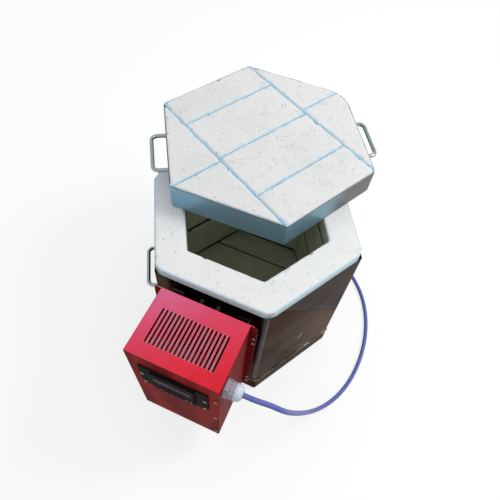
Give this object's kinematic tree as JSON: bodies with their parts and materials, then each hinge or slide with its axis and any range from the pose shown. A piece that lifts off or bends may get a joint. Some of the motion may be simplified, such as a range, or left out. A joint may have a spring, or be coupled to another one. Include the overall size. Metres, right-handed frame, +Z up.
{
  "type": "ceramic kiln",
  "caption": "Small six-sided electric pottery kiln of insulating brick in a steel jacket, with a loose lid, a red control box on the front and a mains cable",
  "frame": {"origin": "centre of the six-sided body on the floor, on the underside of its base tray", "axes": "+Z up; -Y points out of the front, towards the control box; +X is the side that the mains cable leaves"},
  "size_m": [0.6602, 0.766, 0.504],
  "materials": {
    "brick": "matt porous",
    "cement": "matt",
    "slab": "matt",
    "jacket_steel": "polished, dark reflections",
    "band_steel": "polished",
    "tray_steel": "satin",
    "rod_steel": "polished",
    "zinc_steel": "zinc plated",
    "red_paint": "satin",
    "element_wire": "oxidised",
    "bushing_ceramic": "matt",
    "brass": "satin",
    "black_plastic": "fine texture",
    "display": "smoked window",
    "key_plastic": "satin",
    "lamp_plastic": "tinted",
    "grey_plastic": "satin",
    "gland_plastic": "satin",
    "seal_rubber": "matt",
    "cable_rubber": "satin sheath",
    "plug_rubber": "moulded",
    "pin_metal": "nickel"
  },
  "bodies": {
    "kiln": {"base_slab": "slab", "hearth_bed_mortar": "cement", "hearth_bricks": "brick", "hearth_joints": "cement", "lower_wall_bricks": "brick", "upper_wall_bricks": "brick", "rim_bricks": "brick", "steel_jacket": "jacket_steel", "jacket_rivets": "rod_steel", "base_tray": "tray_steel", "lower_element": "element_wire", "middle_element": "element_wire", "upper_element": "element_wire", "element_bushings": "bushing_ceramic", "element_connectors": "brass", "thermocouple_sheath": "bushing_ceramic", "thermocouple_head": "bushing_ceramic", "left_body_handle": "rod_steel", "right_body_handle": "rod_steel", "body_handle_screws": "zinc_steel", "control_box_shell": "red_paint", "control_box_back_plate": "red_paint", "control_box_front_panel": "red_paint", "box_brackets": "zinc_steel", "bracket_screws": "zinc_steel", "bracket_nuts": "zinc_steel", "bracket_rivets": "rod_steel", "front_panel_screws": "zinc_steel", "controller_fascia": "black_plastic", "controller_window": "display", "status_lamps": "lamp_plastic", "controller_screws": "zinc_steel", "controller_module": "grey_plastic", "mounting_rail": "zinc_steel", "contactor": "grey_plastic", "mains_terminals": "grey_plastic", "gland_body": "gland_plastic", "gland_cap": "gland_plastic", "gland_seal": "seal_rubber", "gland_locknut": "gland_plastic", "mains_cable": "cable_rubber", "mains_cable_coil": "cable_rubber", "mains_cable_end": "cable_rubber", "mains_plug": "plug_rubber", "plug_pins": "pin_metal"},
    "lid": {"lid_bricks": "brick", "lid_joints": "cement", "lid_band": "band_steel", "lid_band_rivets": "rod_steel", "lid_left_handle": "rod_steel", "lid_right_handle": "rod_steel", "lid_handle_screws": "zinc_steel"},
    "down_key": {"down_key": "key_plastic"},
    "up_key": {"up_key": "key_plastic"},
    "program_key": {"program_key": "key_plastic"},
    "start_key": {"start_key": "key_plastic"}
  },
  "joints": [
    {"name": "lid_lift", "type": "slide", "parent": "kiln", "child": "lid", "axis": [0, 0, 1], "range_m": [0, 0.35]},
    {"name": "down_key_press", "type": "slide", "parent": "kiln", "child": "down_key", "axis": [0, 1, 0], "range_m": [0, 0.0008], "stiffness_N_per_m": 400, "springref_m": -0.001},
    {"name": "up_key_press", "type": "slide", "parent": "kiln", "child": "up_key", "axis": [0, 1, 0], "range_m": [0, 0.0008], "stiffness_N_per_m": 400, "springref_m": -0.001},
    {"name": "program_key_press", "type": "slide", "parent": "kiln", "child": "program_key", "axis": [0, 1, 0], "range_m": [0, 0.0008], "stiffness_N_per_m": 400, "springref_m": -0.001},
    {"name": "start_key_press", "type": "slide", "parent": "kiln", "child": "start_key", "axis": [0, 1, 0], "range_m": [0, 0.0008], "stiffness_N_per_m": 400, "springref_m": -0.001}
  ]
}
